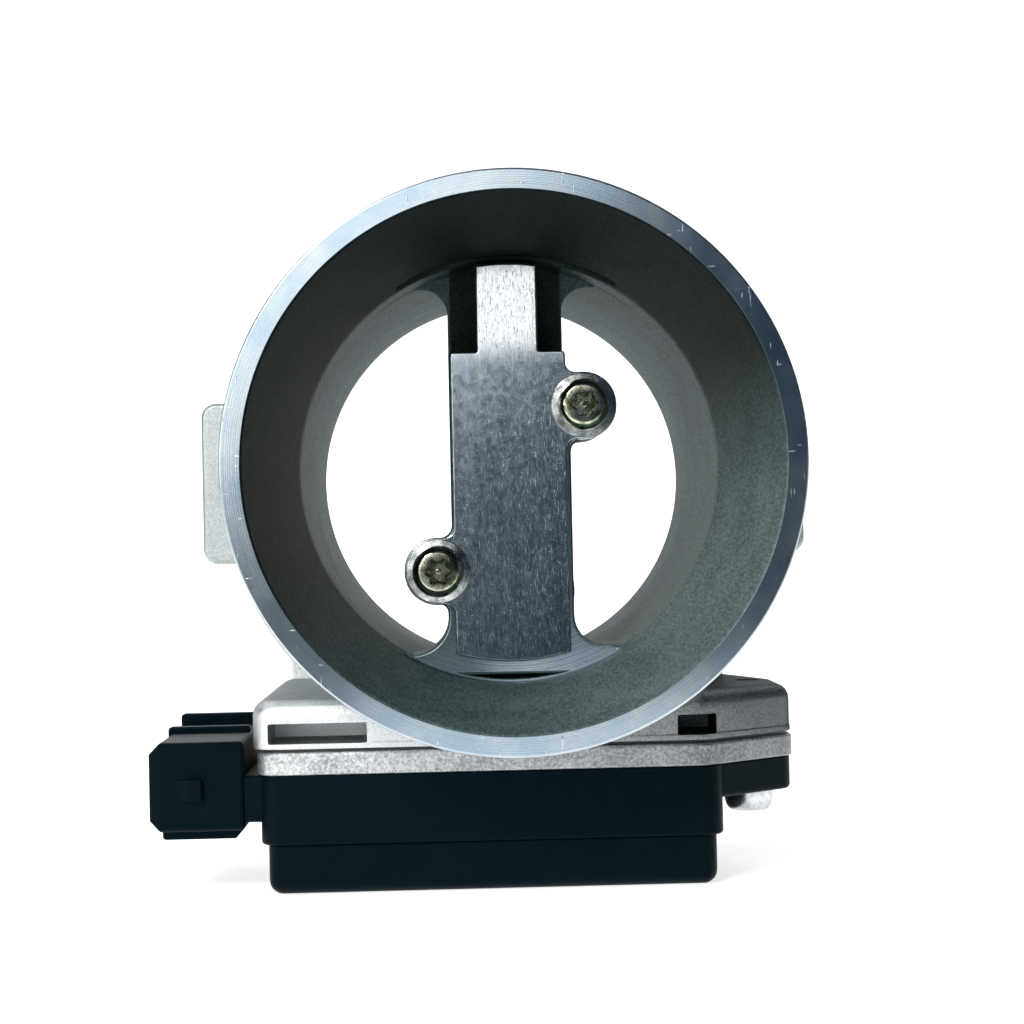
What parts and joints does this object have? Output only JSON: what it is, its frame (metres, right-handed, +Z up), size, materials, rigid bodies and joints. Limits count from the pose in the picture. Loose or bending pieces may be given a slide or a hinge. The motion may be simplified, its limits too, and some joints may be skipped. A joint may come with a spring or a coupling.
{
  "type": "mass air flow meter",
  "caption": "Hot-wire air flow meter: cast duct with a bypass strut across its bore, a bolted inlet flange and an electronics module with a side plug socket beneath.",
  "frame": {"origin": "on the bore's axis, in the plane of the flange's inlet-side face, midway between the two flange bolt holes", "axes": "+Y along the bore from outlet to inlet, against the air flow; +Z up, away from the electronics module; +X to the one-screw ear of the module, away from the plug socket"},
  "size_m": [0.109, 0.102, 0.1134],
  "materials": {
    "cast_aluminium": "as cast, fine grain, machined on the end faces",
    "plate_casting": "as cast, coarse bright grain",
    "brushed_aluminium": "brushed along its length, lightly scratched",
    "olive_zinc": "yellow passivated zinc, satin",
    "zinc_steel": "bright zinc plate",
    "black_plastic": "moulded, matte, fine texture",
    "black_rubber": "matte",
    "tinned_brass": "satin",
    "white_ceramic": "matte",
    "silicone": "satin",
    "chip_black": "matte",
    "chip_tan": "satin",
    "sensor_film": "glazed over a platinum film"
  },
  "bodies": {
    "root": {"meter_body": "cast_aluminium", "bypass_cover": "brushed_aluminium", "bypass_cover_screws": "olive_zinc", "bypass_cover_washers": "zinc_steel", "base_gasket": "black_rubber", "base_plate": "plate_casting", "module_housing": "black_plastic", "module_cover": "black_plastic", "cover_seal": "black_rubber", "connector_pins": "tinned_brass", "circuit_board": "white_ceramic", "board_adhesive": "silicone", "circuit_chips": "chip_black", "circuit_capacitors": "chip_tan", "bond_leads": "tinned_brass", "sensor_stem": "black_plastic", "sensor_supports": "tinned_brass", "hot_wire": "sensor_film", "temperature_sensor": "sensor_film", "stem_o_ring": "black_rubber", "module_screws": "zinc_steel", "module_washers": "zinc_steel", "ear_sleeves": "zinc_steel", "inlet_o_ring": "black_rubber"}
  },
  "joints": []
}
